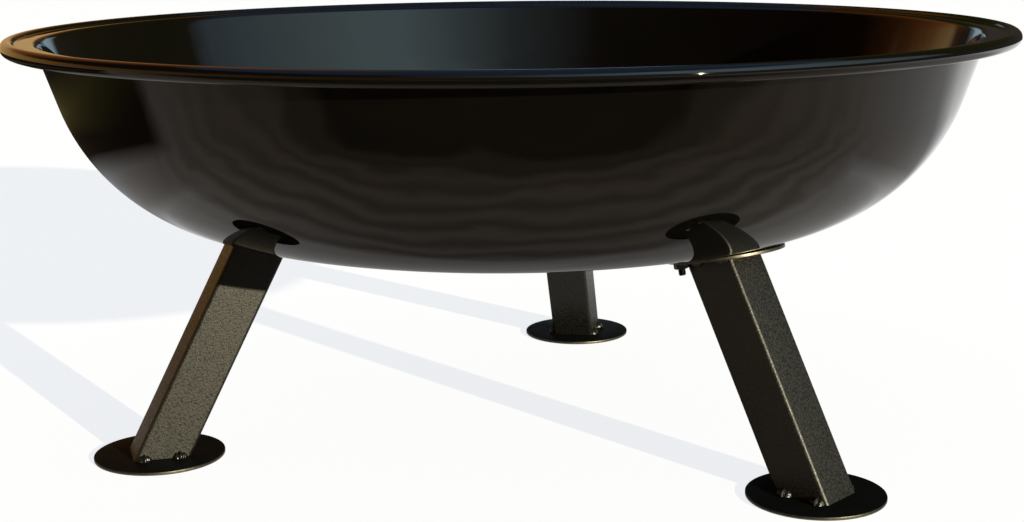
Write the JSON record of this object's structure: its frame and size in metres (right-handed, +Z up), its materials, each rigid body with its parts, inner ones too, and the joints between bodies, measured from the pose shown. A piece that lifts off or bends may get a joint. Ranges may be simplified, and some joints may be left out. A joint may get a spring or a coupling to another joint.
{
  "type": "fire pit",
  "caption": "Round enamelled steel fire bowl with a flat rim and rolled edge, on splayed square-tube legs with round plates at their tops and feet.",
  "frame": {"origin": "on the ground, below the middle of the bowl", "axes": "+Z up through the middle of the bowl; +Y towards the back leg; the other two legs point to the front left and the front right"},
  "size_m": [0.8, 0.8, 0.334],
  "materials": {
    "black_enamel": "glossy vitreous enamel",
    "black_powder_coat": "fine textured powder coat",
    "black_satin_coat": "satin paint",
    "blackened_steel": "blackened"
  },
  "bodies": {
    "root": {"bowl": "black_enamel", "leg_tube_left": "black_powder_coat", "leg_tube_right": "black_powder_coat", "leg_tube_back": "black_powder_coat", "foot_plate_left": "black_satin_coat", "foot_plate_right": "black_satin_coat", "foot_plate_back": "black_satin_coat", "mounting_plate_left": "black_satin_coat", "mounting_plate_right": "black_satin_coat", "mounting_plate_back": "black_satin_coat", "foot_weld_left_1": "black_powder_coat", "foot_weld_left_2": "black_powder_coat", "foot_weld_left_3": "black_powder_coat", "foot_weld_left_4": "black_powder_coat", "foot_weld_right_1": "black_powder_coat", "foot_weld_right_2": "black_powder_coat", "foot_weld_right_3": "black_powder_coat", "foot_weld_right_4": "black_powder_coat", "foot_weld_back_1": "black_powder_coat", "foot_weld_back_2": "black_powder_coat", "foot_weld_back_3": "black_powder_coat", "foot_weld_back_4": "black_powder_coat", "mounting_weld_left_1": "black_powder_coat", "mounting_weld_left_2": "black_powder_coat", "mounting_weld_left_3": "black_powder_coat", "mounting_weld_left_4": "black_powder_coat", "mounting_weld_right_1": "black_powder_coat", "mounting_weld_right_2": "black_powder_coat", "mounting_weld_right_3": "black_powder_coat", "mounting_weld_right_4": "black_powder_coat", "mounting_weld_back_1": "black_powder_coat", "mounting_weld_back_2": "black_powder_coat", "mounting_weld_back_3": "black_powder_coat", "mounting_weld_back_4": "black_powder_coat", "mounting_bolt_left_middle": "blackened_steel", "mounting_bolt_left_corner": "blackened_steel", "mounting_bolt_right_middle": "blackened_steel", "mounting_bolt_right_corner": "blackened_steel", "mounting_bolt_back_middle": "blackened_steel", "mounting_bolt_back_corner": "blackened_steel", "mounting_washer_left_middle": "blackened_steel", "mounting_washer_left_corner": "blackened_steel", "mounting_washer_right_middle": "blackened_steel", "mounting_washer_right_corner": "blackened_steel", "mounting_washer_back_middle": "blackened_steel", "mounting_washer_back_corner": "blackened_steel", "mounting_nut_left_middle": "blackened_steel", "mounting_nut_left_corner": "blackened_steel", "mounting_nut_right_middle": "blackened_steel", "mounting_nut_right_corner": "blackened_steel", "mounting_nut_back_middle": "blackened_steel", "mounting_nut_back_corner": "blackened_steel"}
  },
  "joints": []
}
